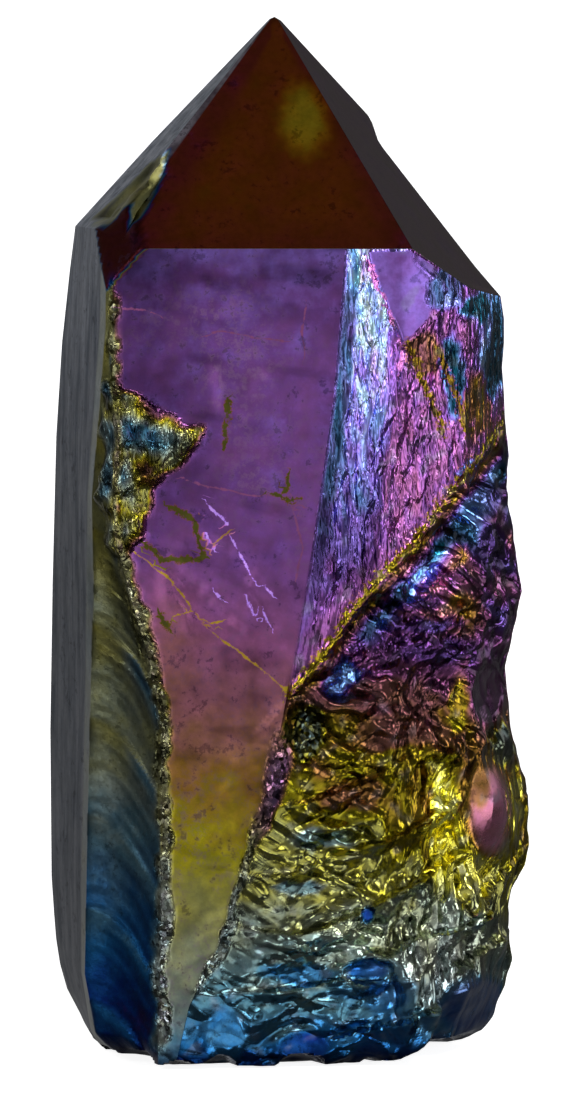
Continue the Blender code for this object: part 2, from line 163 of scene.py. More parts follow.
# Scoops that shells of stone broke out of: (across, up, half length, half width, turn in degrees, depth).
SHELLS = [
    (6.4, 12.9, 4.2, 1.7, 32, 0.9),
    (7.6, 10.2, 2.7, 1.3, 16, 0.9),
    (9.2, 7.4, 2.8, 2, 50, 0.8),
    (3.5, 23.2, 3.2, 1.3, 4, 0.6),
    (0.4, 18.3, 3.6, 1.4, 18, 0.6),
    (1.6, 14.2, 4.2, 1.4, 14, 0.7),
    (0.6, 9.6, 4.4, 1.5, 8, 0.6),
    (-4, 6.2, 3.4, 1.4, 14, 0.5),
    (1.4, 3, 3.4, 2.2, 8, 1),
    (7.6, 1.6, 2, 1.5, 0, 0.7),
    (-4.6, 1.4, 1.9, 1.3, 0, 0.7),
    (17.6, 12.2, 4.8, 2.8, 66, 0.8),
    (17.9, 5.8, 4, 2.2, 36, 0.7),
    (16.9, 19.4, 2.6, 0.8, 88, 0.5),
    (18.6, 19.6, 2.4, 0.7, 90, 0.4),
    (15.2, 19.8, 2.4, 0.7, 84, 0.4),
    (12.6, 18.4, 2.8, 1.2, 76, 0.5),
    (16.5, 49.5, 3.4, 2, 25, 0.9),
    (11.5, 44.6, 3.4, 1.6, 20, 0.8),
    (18.4, 56.4, 3.2, 1.8, 42, 0.8),
    (14, 54, 2.4, 1.4, 40, 0.6),
    (19.9, 38.2, 3.6, 1.7, 80, 0.7),
    (14.2, 35.8, 3.6, 1.5, 30, 0.6),
    (8.2, 34.4, 3.8, 1.4, 30, 0.5),
    (13.4, 30.8, 3.4, 1.3, 24, 0.5),
    (6.8, 28.6, 4.4, 2, 12, 0.5),
]

# Where the broken side is smooth and glassy, its grit is no more than this.
CALM_GRIT = 0.1

# What the film shows on the right side, where it differs from what is around it:
# (across, up, half width, half height, film thickness, tone, grit). A tone well above 1 is a painted
# highlight.
PATCH_FILM, PATCH_TONE, PATCH_GRIT = 4, 5, 6
PATCHES = [
    # Above the ridge: gold and brown, slate, a painted highlight spot, teal, the dark right edge, gold and
    # pink.
    (13.6, 72.6, 2.1, 2.2, 0.64, 0.7, 0.7),
    (15.3, 78.8, 2.2, 2.4, 0.9, 0.4, 0.5),
    (16.2, 77.8, 0.8, 0.8, 0.89, 1.3, 0.2),
    (18.5, 77, 1.5, 1.5, 1, 0.75, 0.3),
    (16.5, 70, 1.3, 4.6, 0.98, 0.4, 0.6),
    (18.8, 67.2, 1.5, 3.2, 0.6, 0.8, 0.8),
    (20.6, 72.4, 1, 5.6, 0.99, 0.4, 0.3),
    # Just under the ridge: teal, then slate and dark blue down to the bright blue knob.
    (18.6, 60.6, 2.8, 1.4, 0.98, 0.8, 0.5),
    (18.2, 57, 3, 2, 0.89, 0.55, 0.6),
    (5, 39.2, 2.2, 2.2, 0.935, 0.5, 0.15),
    # The purple broken middle, with a gold spot, and brown and olive ledges below.
    (16, 51.8, 2.2, 1.2, 0.575, 1.2, 0.7),
    (13.6, 49.8, 3.4, 1.8, 0.68, 1, 0.7),
    (20.6, 52.4, 1.7, 3, 0.82, 0.35, 0.3),
    (16.8, 46.8, 3, 1.2, 0.62, 0.65, 0.7),
    (12, 45, 5, 1.3, 0.84, 0.4, 0.5),
    (14, 42.4, 6.6, 1.6, 0.8, 0.3, 0.4),
    (19.8, 38.2, 1.9, 3.6, 0.75, 0.34, 0.1),
    (9.6, 37.8, 4.6, 2, 0.645, 0.3, 0.4),
    (10.4, 34, 4.6, 1.8, 0.62, 0.34, 0.3),
    (16.4, 36.4, 1.2, 3.4, 0.56, 0.75, 0.3),
    (21.2, 32.8, 1, 2.6, 0.46, 0.35, 0.7),
    (1.4, 34, 2.2, 3, 0.47, 0.25, 1),
    # Olive ledge, brown hollow, dark glassy dome, lemon patch with a painted highlight, copper lump with a
    # painted highlight and gold streaks beside it with painted glints.
    (9, 31.4, 7, 1.4, 0.545, 0.5, 0.3),
    (7, 27.8, 5, 2, 0.605, 0.42, 0.3),
    (11.2, 25, 2.5, 4.6, 0.56, 0.5, 0.2),
    (15.6, 26, 2.1, 4.6, 0.52, 2.8, 0.4),
    (19.6, 26.6, 3.1, 5.8, 0.575, 0.6, 0.1),
    (20.1, 26.2, 2.3, 4.9, 0.675, 1.35, 0.05),
    (19, 28.6, 1.1, 2.4, 0.6, 1, 0.05),
    (22.6, 27, 0.9, 4, 0.52, 1.6, 0.4),
    (17.2, 19.6, 3.8, 2.4, 0.52, 1.9, 0.4),
    # Silvery and blue shells near the base; the brightest carry painted highlights.
    (3.4, 23.3, 3.6, 1.1, 0.41, 0.85, 0.3),
    (2, 20.3, 4.6, 1.4, 0.505, 0.75, 0.3),
    (0.4, 18.2, 3.2, 0.9, 0.39, 0.75, 0.3),
    (7.7, 15.7, 0.7, 0.9, 0.25, 1.2, 0),
    (6.6, 13, 3.6, 1.5, 0.445, 1.9, 0.5),
    (7.7, 10.2, 2.6, 1.2, 0.27, 1.2, 0.1),
    (2.2, 13.4, 1.6, 1.2, 0.43, 1.7, 0.5),
    (0.6, 9.6, 4.2, 1.2, 0.32, 0.85, 0.2),
    (9.3, 7.4, 2.4, 1.9, 0.31, 1.1, 0.2),
    (14.8, 13.4, 4.2, 4.4, 0.455, 0.95, 0.3),
    (13.4, 11.6, 0.9, 3.8, 0.475, 1.6, 0.2),
    (18.8, 6.2, 4, 3.6, 0.262, 0.95, 0.08),
    (1.4, 2.4, 3, 1.7, 0.245, 0.8, 0.1),
    (7.6, 1.4, 1.7, 1.2, 0.248, 0.9, 0.1),
    (-4.6, 1.2, 1.6, 1.1, 0.248, 0.9, 0.1),
    (-6.6, 3.4, 2.2, 3.4, 0.31, 1, 0.1),
]

# Thin marks on the front: half width, film thickness and tone, and the lines that have them, as (across, up).
CRACKS = (0.09, 0.72, 0.55, [
    [(-17.3, 77), (-14.5, 76.7), (-13, 76.2)],
    [(-8.5, 74.1), (-7, 74.6), (-3, 73.9), (-0.5, 73.6)],
    [(-10.7, 59.7), (-8.6, 59), (-6, 58.5), (-2, 57.9), (1.2, 57)],
    [(0.2, 57), (1.2, 52.8), (0.6, 49.6)],
    [(1.6, 77.2), (1.2, 74.8), (1.4, 71.8)],
])
GOLD_LINES = (0.1, 0.575, 1.1, [
    [(-15.5, 52.3), (-12, 49.7), (-8.2, 44.6), (-5, 42.2), (-2, 39.8), (-0.3, 38.3)],
    [(-11.4, 46), (-9.6, 46.4), (-8, 45.2), (-7, 45.4)],
    [(-7.6, 53.2), (-6.2, 54.4)],
])
GOLD_STREAKS = (0.36, 0.575, 0.75, [
    [(11.8, 73.4), (13.2, 69.6), (15.3, 64.6)],
    [(14.8, 72.6), (16.9, 67.6), (17.6, 64.4)],
])
SLIVERS = (0.13, 0.83, 2.2, [
    [(-8.4, 57.3), (-6.4, 55.2)],
    [(-8.4, 54.2), (-7.6, 52.8)],
    [(-5.9, 53.7), (-3.6, 49.4)],
    [(-7.3, 48.2), (-6.8, 47.6)],
    [(-4.3, 47.5), (-3.6, 46)],
    [(-2.5, 48.8), (-1.8, 48.1)],
    [(-2.7, 46.3), (-1.8, 44.8)],
])
PINK_EDGE = (0.24, 0.73, 2.4, [
    [(7.8, 81.4), (9.4, 77.7), (10.7, 74.1), (11.1, 72.4), (10.9, 70.4)],
])
DIRT = (0.28, 0.51, 0.2, [
    [(-6.1, 67.6), (-6.6, 63.4)],
    [(-0.3, 60), (-0.2, 57.4)],
    [(-2.2, 58.4), (1, 57.6)],
    [(-12, 57), (-9.6, 55.6), (-8.8, 52)],
    [(-14.4, 53.2), (-12.8, 51.6), (-8.9, 51.6)],
    [(-12.9, 46), (-12, 44.6)],
])
RIDGE_TOP = (0.58, 0.56, 0.8, [RIDGE])
MARKS = [RIDGE_TOP, CRACKS, DIRT, GOLD_STREAKS, GOLD_LINES, SLIVERS, PINK_EDGE]

# Film thickness, from none to the thickest, and the colour that a film of that thickness shows.
FILM_COLOURS = [
    (0, (0.235, 0.175, 0.01)),
    (0.05, (0.19, 0.085, 0.004)),
    (0.1, (0.125, 0.03, 0.003)),
    (0.15, (0.09, 0.012, 0.012)),
    (0.2, (0.08, 0.02, 0.12)),
    (0.24, (0.006, 0.035, 0.22)),
    (0.3, (0.016, 0.125, 0.33)),
    (0.37, (0.095, 0.24, 0.32)),
    (0.44, (0.29, 0.35, 0.27)),
    (0.49, (0.34, 0.34, 0.11)),
    (0.54, (0.4, 0.35, 0.012)),
    (0.59, (0.33, 0.17, 0.03)),
    (0.65, (0.42, 0.16, 0.17)),
    (0.72, (0.4, 0.125, 0.32)),
    (0.8, (0.215, 0.08, 0.35)),
    (0.86, (0.3, 0.2, 0.78)),
    (0.91, (0.27, 0.38, 0.96)),
    (0.95, (0.13, 0.33, 0.72)),
    (1, (0.01, 0.12, 0.19)),
]

# The film on the shoulder's corner facet, the stone's own greys, the colour of fine scratches, and the height
# of the film's grain in millimetres.
FACET_FILM = 0.15
DARK_STONE = (0.1, 0.125, 0.175, 1)
PALE_STONE = (0.34, 0.365, 0.43, 1)
SCRATCH_HAZE = (0.44, 0.23, 0.5, 1)
GRAIN_HEIGHT = 0.08

# How the film's thickness falls from the shoulder to the base on the purple face: (up, thickness).
PURPLE_FACE_FILM = [
    (0, 0.32), (2.4, 0.35), (5, 0.4), (8, 0.455), (12, 0.48), (17, 0.51), (22, 0.54), (26, 0.565), (30, 0.59),
    (33, 0.62), (37, 0.655), (41, 0.69), (46, 0.75), (52, 0.79), (76, 0.8), (80, 0.81), (83, 0.83),
]
# Its tone, from the base up: (up, value).
PURPLE_FACE_TONE = [(14, 0.62), (22, 0.66), (30, 0.66), (38, 0.46), (46, 0.63), (55, 0.71)]
BROKEN_SIDE_FILM = [
    (0, 0.26), (4, 0.33), (8, 0.385), (12, 0.43), (17, 0.48), (22, 0.52), (29, 0.55), (33, 0.57),
    (36.5, 0.62), (39.5, 0.7), (44, 0.73), (52, 0.73), (60, 0.78), (66, 0.85),
]
WEDGE_FILM = [(0, 0.25), (10, 0.285), (20, 0.345), (26, 0.41), (31, 0.48), (42, 0.495), (52, 0.52)]
# Tone and grit on the broken side, from the base up to the ridge: (up, value).
BROKEN_SIDE_TONE = [(0, 0.6), (3, 0.85), (14, 0.7), (26, 0.6), (32, 0.46), (38, 0.36), (62, 0.46)]
BROKEN_SIDE_GRIT = [(0, 0.15), (26, 0.3), (38, 0.6), (46, 1), (62, 0.9)]


def smooth(value, low, high):
    """0 below low, 1 above high, and a smooth rise between them."""
    share = np.clip((value - low) / (high - low), 0, 1)
    return share * share * (3 - 2 * share)


def fall(value, low, high):
    """1 below low, 0 above high, and a smooth fall between them."""
    return 1 - smooth(value, low, high)


def blend(first, second, share):
    """Goes over from the first to the second as the share goes from 0 to 1."""
    return first * (1 - share) + second * share


def profile(value, stops):
    """A value read off a list of (position, value) stops."""
    positions, values = zip(*stops)
    return np.interp(value, positions, values)


def line_distance(line, across, up):
    """How far each point is from a line of several stretches: positive above it, negative below it."""
    nearest = np.full(across.shape, 1e9)
    side = np.ones(across.shape)
    for (ax, au), (bx, bu) in zip(line, line[1:]):
        length = math.hypot(bx - ax, bu - au)
        dx, du = (bx - ax) / length, (bu - au) / length
        along = np.clip((across - ax) * dx + (up - au) * du, 0, length)
        gap = np.hypot(across - ax - along * dx, up - au - along * du)
        cross = dx * (up - au) - du * (across - ax)
        side = np.where(gap < nearest, np.where(cross < 0, -1, 1), side)
        nearest = np.minimum(nearest, gap)
    return nearest * side


def depth_inside(outline, across, up):
    """How far each point is inside a closed outline, and negative outside it."""
    closed = [*outline, outline[0]]
    inside = np.zeros(across.shape, bool)
    for (ax, au), (bx, bu) in zip(closed, closed[1:]):
        if au == bu:
            continue
        crosses = (au > up) != (bu > up)
        inside ^= crosses & (across < ax + (bx - ax) * (up - au) / (bu - au))
    return np.abs(line_distance(closed, across, up)) * np.where(inside, 1, -1)


def blob(across, up, x, height, half_width, half_height):
    """1 at a place and falling softly to 0 around it."""
    return np.exp(-(((across - x) / half_width) ** 2) - ((up - height) / half_height) ** 2)


def sampled(pattern, points, size, seed, factors):
    """What a pattern gives at each point, with its cells size millimetres wide."""
    shift = Vector([seed * factor for factor in factors])
    flat = points.reshape(-1, 3) / size
    return np.array([pattern(Vector(p) + shift) for p in flat]).reshape(points.shape[:-1])


def grain(points, size, seed):
    """Smooth noise from -1 to 1 whose bumps are about size millimetres wide."""
    return sampled(noise.noise, points, size, seed, (7.31, 3.77, 5.13))


def cells(pattern, points, size, seed):
    """The same for a pattern that is made of cells."""
    return sampled(pattern, points, size, seed, (4.19, 6.07, 2.53))


def dishes(points, size, seed):
    """Shallow dishes that meet in sharp ridges, as quartz breaks: from 0 to about 1."""
    return cells(lambda place: noise.voronoi(place)[0][0], points, size, seed) ** 2 * 1.6


def flakes(points, size, seed):
    """Flakes about size millimetres wide, each with a number of its own from -1 to 1."""
    return cells(lambda place: noise.cell_vector(noise.voronoi(place)[1][0] * 19.7).x, points, size, seed)


def waves(points, size, seed):
    """Rounded waves about size millimetres wide, with sharp creases between them: from 0 to about 1."""
    return np.abs(grain(points, size, seed)) + 0.4 * np.abs(grain(points, 0.45 * size, seed + 100))


def cos_sin(degrees):
    return math.cos(math.radians(degrees)), math.sin(math.radians(degrees))


def slanted(points, turn, stretch):
    """The points turned about Y by turn degrees and shortened along the turned X, for marks along it."""
    cos, sin = cos_sin(turn)
    x, y, z = points[..., 0], points[..., 1], points[..., 2]
    return np.stack([(x * cos + z * sin) / stretch, y, z * cos - x * sin], axis=-1)


def polyline(values, positions, corners):
    """The places at the given values along a line whose corners are at the given positions."""
    return np.stack([np.interp(values, positions, corners[:, axis]) for axis in range(3)], axis=-1)


def edge_points(edge, ridge_height):
    """Points up an edge, from the base to the shoulder, with row RIDGE_ROW at the ridge's height."""
    rising = np.array(edge[::-1])
    below = np.linspace(0, ridge_height, RIDGE_ROW + 1)
    above = np.linspace(ridge_height, rising[-1, 2] - SHOULDER_GAP, BODY_ROWS - RIDGE_ROW)[1:]
    heights = np.concatenate([below, above, rising[-1:, 2]])
    return polyline(heights, rising[:, 2], rising)


def tip_points(edge, shares):
    """Points at the given shares of the way from an edge's shoulder to the tip."""
    bends = next((bends for bent, bends in BENT_TIP_EDGES if bent is edge), [])
    places = [0] + [share for share, _ in bends] + [1]
    stops = np.array([edge[0]] + [point for _, point in bends] + [TIP])
    return polyline(shares, places, stops)


def loft():
    """The plain crystal as a grid of points, with each column's edge, share between edges and direction."""
    tip_shares = np.linspace(0, 1, TIP_ROWS + 1)[1:]
    lines = [
        np.concatenate([edge_points(edge, ridge_height), tip_points(edge, tip_shares)])
        for edge, _, _, ridge_height in LONG_EDGES
    ]
    directions = [np.array(direction) for _, direction, _, _ in LONG_EDGES]
    columns, edges, shares, outwards = [], [], [], []
    for k, (_, _, count, _) in enumerate(LONG_EDGES):
        following = (k + 1) % len(LONG_EDGES)
        for share in np.arange(count) / count:
            columns.append(blend(lines[k], lines[following], share))
            edges.append(k)
            shares.append(share)
            outward = blend(directions[k], directions[following], share)
            outwards.append([*(outward / np.linalg.norm(outward)), 0])
    return np.stack(columns, axis=1), np.array(edges), np.array(shares), np.array(outwards)


def seen_height(points):
    """The height at which the front view shows a point."""
    return points[..., 2] + (points[..., 1] - FRONT_Y) * math.tan(VIEW_TILT)


def edge_x(edge, heights):
    """The x of a long edge at the given heights."""
    rising = np.array(edge[::-1])
    return np.interp(heights, rising[:, 2], rising[:, 0])


def ripple(phase):
    """A rise that ends in a sharp drop, once for each whole number of phase: from 0 to 1."""
    turn = phase - np.floor(phase)
    return turn * turn * fall(turn, 0.93, 1)


def wedge_curve(across, up):
    """A value that stays the same along each curved ledge of the shell-like fracture."""
    return up + 9 * np.clip((across + 20.2) / 7.5, 0, 1.2) ** 1.7


def wedge_fracture(points, shares, across, up):
    """The shell-like fracture at the lower left: a shallow scoop with curved ledges across it."""
    below = fall(up, 50, 55)
    scoop = -0.8 * np.sin(math.pi * shares)
    curve = wedge_curve(across, up) + 0.8 * grain(points, 5, 11)
    ledges = 0.5 * ripple(curve / 9.6 + 0.25) + 0.2 * ripple(curve / 3.1) + 0.07 * ripple(curve / 1.4)
    return below * (scoop + ledges * np.sin(math.pi * shares) ** 0.5 * smooth(up, 0, 3))


def shell_scoops(across, up):
    """Smooth scoops with sharp rims."""
    out = np.zeros(across.shape)
    for x, height, half_length, half_width, turn, depth in SHELLS:
        cos, sin = cos_sin(turn)
        along = ((across - x) * cos + (up - height) * sin) / half_length
        beside = ((up - height) * cos - (across - x) * sin) / half_width
        out -= depth * np.clip(1 - along * along - beside * beside, 0, 1)
    return out


def calm_share(across, up):
    """1 where the broken side is smooth and glassy."""
    calm = [patch for patch in PATCHES if patch[PATCH_GRIT] <= CALM_GRIT]
    return np.max([blob(across, up, *patch[:4]) for patch in calm], axis=0)


def broken_side(points, across, up):
    """The broken lower right: a groove under the ridge, then dishes and ledges that rise to the right."""
    ridge = line_distance(RIDGE, across, up)
    below = smooth(-ridge, 0, 1.5)
    groove = -1.9 * np.exp(-(((ridge + 3.2) / 2) ** 2))
    curve = up - 0.28 * (across + 5) - 0.02 * (across - 4) ** 2 + 1.3 * grain(points, 8, 1)
    ledges = 1.6 * ripple(curve / 6.4) * fall(up, 27, 34)
    broken = 2.4 * dishes(slanted(points, 28, 1.8), 4.8, 2) + 0.5 * grain(points, 5, 3)
    rising = waves(slanted(points, 24, 2.4), 2.6, 21)
    steep = waves(slanted(points, 78, 2.6), 2.4, 29)
    turn = smooth(across + 1.5 * grain(points, 5, 66), 6, 11) * fall(up, 32, 40)
    fine = (2 - 0.8 * smooth(up, 36, 44)) * blend(rising, steep, turn)
    crumbled = smooth(up, 36, 42) * 0.9 * waves(slanted(points, 50, 1.8), 1.2, 35)
    noisy = ledges + broken - 2.2 + fine + crumbled
    noisy = noisy * fall(calm_share(across, up), 0.15, 0.5)
    return below * (groove + noisy + shell_scoops(across, up))


def upper_right(points, across, up, right_of_purple):
    """The rough strip between the purple face and the ridge, with the small smooth plateau at its top."""
    ridge = line_distance(RIDGE, across, up)
    above = smooth(ridge, 0, 1)
    crest = 0.55 * np.exp(-((ridge / 0.6) ** 2)) * (1 + 0.5 * grain(points, 1.1, 23))
    streaks = 0.6 * dishes(slanted(points, 84, 4), 1.8, 4) + 0.2 * grain(points, 3, 5)
    streaks += 0.3 * dishes(slanted(points, 82, 3.4), 0.9, 24)
    plateau = smooth(depth_inside(PLATEAU, across, up), -0.1, 0.25)
    level = points[..., 1] + 16.9 - 0.08 * np.clip(across - 11, 0, 4) ** 1.6
    edge = smooth(right_of_purple, 0, 1.5)
    return crest + above * edge * blend(streaks - 0.2, level, plateau)


def column_weights(edges, shares, weights):
    """One weight per column: each long edge's own, blended evenly between neighbouring edges."""
    table = np.array(weights)
    return blend(table[edges], table[(edges + 1) % len(table)], shares)


def crust_share(points, across, up, low, high):
    """1 on the crust of small crystals and 0 off it, rising from low to high millimetres inside its line."""
    depth = depth_inside(CRUST, across, up) + 0.8 * grain(points, 2, 25)
    return smooth(depth, low, high) * (points[..., 1] < 0)


def front_relief(points, edges, shares):
    """How far each grid point stands out from the plain crystal."""
    across, up = points[..., 0], seen_height(points)
    body = smooth(points[BODY_ROWS, :, 2] - points[..., 2], 0, 1.8)
    relief = wedge_fracture(points, shares, across, up) * (edges == WEDGE)
    crust = crust_share(points, across, up, -0.2, 0.8)
    relief += crust * (0.1 + 1.1 * dishes(points, 2.6, 6) + 0.5 * dishes(points, 1.2, 26))
    rough = broken_side(points, across, up)
    for x, height, half_width, half_height, out in LUMPS:
        rough += out * blob(across, up, x, height, half_width, half_height)
    right = column_weights(edges, shares, (0, 0, 0, 0, 0.1, 1, 1, 0.12, 0, 0))
    relief += body * right * rough
    upper = column_weights(edges, shares, (0, 0, 0, 0, 1, 1, 0.6, 0, 0, 0)) * (edges >= STRIP)
    relief += body * upper * upper_right(points, across, up, across - edge_x(PURPLE_RIGHT, points[..., 2]))
    chip = smooth(depth_inside(CORNER_CHIP, across, up), -0.1, 0.6) * (points[..., 1] < 0)
    relief -= chip * (0.6 + 0.6 * dishes(points, 2, 7) + 0.25 * grain(slanted(points, 50, 3), 0.8, 27))
    crumbs = crumb_lines(points, across) * (0.05 + 0.4 * np.clip(grain(points, 0.8, 32) + 0.05, 0, 1))
    relief += crumbs + 0.22 * purple_steps(points, edges, across, up)
    root = fall(points[..., 2], 14, 32)
    behind = column_weights(edges, shares, (0, 0, 0, 0, 0, 0, 0, 0.5, 1, 1)) * (edges >= BACK)
    turned = slanted(points, -20, 1.5)
    relief += body * root * behind * (1.6 * dishes(turned, 6.5, 8) - 0.9)
    return relief + body * root * behind * 0.4 * dishes(turned, 2, 28)


def crumb_lines(points, across):
    """Where crumbs line the purple face: down its left edge, and down its right one below the ridge."""
    z = points[..., 2]
    front = points[..., 1] < -11
    left_gap = np.abs(across - edge_x(PURPLE_LEFT, z) - 0.2 + 0.9 * grain(points, 5, 31))
    left_gap += 0.5 * grain(points, 1.7, 56)
    left = fall(left_gap, 0.15, 0.6 + 0.6 * fall(z, 50, 56))
    right_gap = np.abs(across - edge_x(PURPLE_RIGHT, z) - 0.3 + 0.6 * grain(points, 2.2, 69))
    right = fall(right_gap, 0.2, 0.8 + 0.9 * smooth(z, 22, 30))
    right = right * fall(z, 30, 36) * smooth(z, 6, 12)
    return np.maximum(left * smooth(z, 1, 4) * fall(z, 76, 81), right) * front


def purple_steps(points, edges, across, up):
    """Shallow steps on the purple face, where thin slivers broke away."""
    face = (edges == PURPLE) * smooth(up, 36, 40) * fall(up, 79, 82)
    slivers = smooth(flakes(slanted(points, -38, 3.2), 2.2, 33), 0.5, 0.55)
    place = blob(across, up, -7, 49, 6.5, 6) + 0.7 * blob(across, up, -4.5, 69, 4.5, 6)
    return -0.6 * face * slivers * smooth(place, 0.35, 0.5)


def near_corner(points):
    return (points[..., 0] < -10) & (points[..., 1] < -8)


def crystal_points():
    """The finished grid of points, in millimetres, with each column's edge number and share."""
    points, edges, shares, outwards = loft()
    relief = front_relief(points, edges, shares)
    inset = fall(points[..., 2], 0, 2.5)
    arcs = 0.1 + 1.4 * smooth(grain(points * np.array([1, 1, 0]), 3.4, 75), -0.1, 0.5)
    undercut = 3.6 * np.sqrt(np.clip(1 - points[..., 2] / arcs, 0, 1)) * smooth(-points[..., 1], 2, 5)
    chipped = undercut + 0.5 * inset * (0.5 + 0.5 * grain(points, 4, 9))
    chipped += 0.3 * inset * dishes(points, 1.5, 34)
    points = points + outwards * (relief - chipped)[..., None]
    over = np.clip((points - FACET_SPOT) @ FACET_OUTWARD, 0, None)
    points -= np.where(near_corner(points), over, 0)[..., None] * FACET_OUTWARD
    points[..., 2] -= 0.8 * np.clip(points[..., 2] - TIP_TOP, 0, None)
    points[0, :, 2] = 0
    return points, edges, shares


def crystal_mesh(points):
    """Rolls a flat grid into the crystal, welds its seam and its tip, and closes the sawn base."""
    row_count, column_count = points.shape[:2]
    mesh = bmesh.new()
    bmesh.ops.create_grid(mesh, x_segments=column_count, y_segments=row_count - 1, size=0.5)
    place = mesh.verts.layers.int.new("grid_place")
    for vert in mesh.verts:
        column = round((vert.co.x + 0.5) * column_count) % column_count
        row = round((vert.co.y + 0.5) * (row_count - 1))
        vert[place] = row * column_count + column
        vert.co = Vector(points[row, column]) * MM
    bmesh.ops.remove_doubles(mesh, verts=mesh.verts, dist=1e-7)
    rim = [edge for edge in mesh.edges if edge.is_boundary]
    bmesh.ops.edgeloop_fill(mesh, edges=rim)
    bmesh.ops.recalc_face_normals(mesh, faces=mesh.faces)
    data = bpy.data.meshes.new("crystal")
    mesh.to_mesh(data)
    mesh.free()
    data.shade_smooth()
    data.set_sharp_from_angle(angle=math.radians(38))
    return data


def wandering(points):
    """The places on the front, moved about a little, so that outlines laid out by them are ragged."""
    across = points[..., 0] + 1.1 * grain(points, 3.4, 61) + 0.6 * grain(points, 1.1, 62)
    up = seen_height(points) + 0.9 * grain(points, 3.4, 63) + 0.5 * grain(points, 1.1, 64)
    return across, up


def patch_shares(points):
    """How far each patch covers each point: smooth ones have clean outlines, and broken ones ragged ones."""
    plain, ragged = (points[..., 0], seen_height(points)), wandering(points)
    shares = []
    for patch in PATCHES:
        x, height, half_width, half_height = patch[:4]
        across, up = plain if patch[PATCH_GRIT] <= CALM_GRIT else ragged
        away = np.hypot((across - x) / half_width, (up - height) / half_height)
        shares.append(fall(away, 0.65, 1.1))
    return shares


def corner_facet(points):
    """1 on the facet that takes off the shoulder's left front corner."""
    return smooth((points - FACET_SPOT) @ FACET_OUTWARD, -0.25, -0.1) * near_corner(points)


class Surface:
    """The mesh's points, and the fields on them that several of the film's values depend on."""

    def __init__(self, points, normals, rows, edges, shares):
        self.points, self.edges, self.shares = points, edges, shares
        self.across, self.up, self.z = points[..., 0], seen_height(points), points[..., 2]
        self.turned = normals @ np.array([0.5, 0.1, 0.8])
        self.body = rows < BODY_ROWS
        self.right = (edges >= STRIP) & (edges <= SIDE)
        self.middle = self.grain(2.6, 42)
        self.beside_purple = self.across - edge_x(PURPLE_RIGHT, self.z)
        self.ridge = line_distance(RIDGE, self.across, self.up)
        self.plateau = depth_inside(PLATEAU, self.across, self.up)
        self.chip = depth_inside(CORNER_CHIP, self.across, self.up)
        self.chipped = (self.chip > 0) & (points[..., 1] < 0)
        self.crust = crust_share(points, self.across, self.up, -0.3, 0.4)
        self.crumb_lines = crumb_lines(points, self.across)
        self.crumbs = np.clip(1.3 * self.crumb_lines, 0, 1)
        self.facet = corner_facet(points)
        self.patches = patch_shares(points)
        self.teal = self.teal_band()
        self.spot = self.yellow_spot()

    def grain(self, size, seed):
        return grain(self.points, size, seed)

    def slanted_grain(self, turn, stretch, size, seed):
        return grain(slanted(self.points, turn, stretch), size, seed)

    def blob(self, *place):
        return blob(self.across, self.up, *place)

    def teal_band(self):
        """The dark teal band along the ridge's lower side, in the groove there; its darkness is partly
        painted shade.
        """
        across_band = np.exp(-(((self.ridge + 2.6 + 0.8 * self.grain(2.4, 67)) / 1.3) ** 2))
        return across_band * smooth(self.up, 41, 46) * fall(self.up, 62, 66)

    def yellow_spot(self):
        """The yellow spot high on the front tip face."""
        away = np.hypot((self.across - 1.4) / 3, (self.up - 96) / 4.6) + 0.16 * self.grain(1, 51)
        return fall(away, 0.35, 1.15)

    def by_ridge(self, below, above, index):
        """Values below and above the ridge, with the patches' own over them, taken from the given index."""
        values = blend(below, above, smooth(self.ridge, -0.4, 0.2))
        for patch, share in zip(PATCHES, self.patches):
            values = blend(values, patch[index], share)
        return values

    def by_tip_face(self, left, front, right, behind):
        faces = [self.edges == LEFT, self.edges <= STRIP, self.edges <= SIDE]
        return np.select(faces, [left, front, right], behind)


def above_ridge_film(at):
    """The film above the ridge: a pale blue strip beside the purple face, magenta, and lilac low down."""
    strip = 0.884 - 0.1 * smooth(at.across - edge_x(PINK_RIDGE, at.z) + 1.2 * at.middle, -1.8, 0.6)
    strip = strip + 0.05 * fall(at.beside_purple + 0.6 * at.middle, 0.4, 1.4)
    rough = 0.765 + 0.03 * at.middle + 0.18 * smooth(at.across, 17.5, 20)
    above = np.where(at.edges == STRIP, strip, rough)
    above = blend(above, 0.815 + 0.02 * at.middle, fall(at.up, 48, 60) * fall(at.across, 9.5, 12))
    above = blend(above, 0.76, fall(at.ridge, 0.6, 4))
    return blend(above, 0.825 + 0.01 * at.middle, smooth(at.plateau, 0, 0.3))


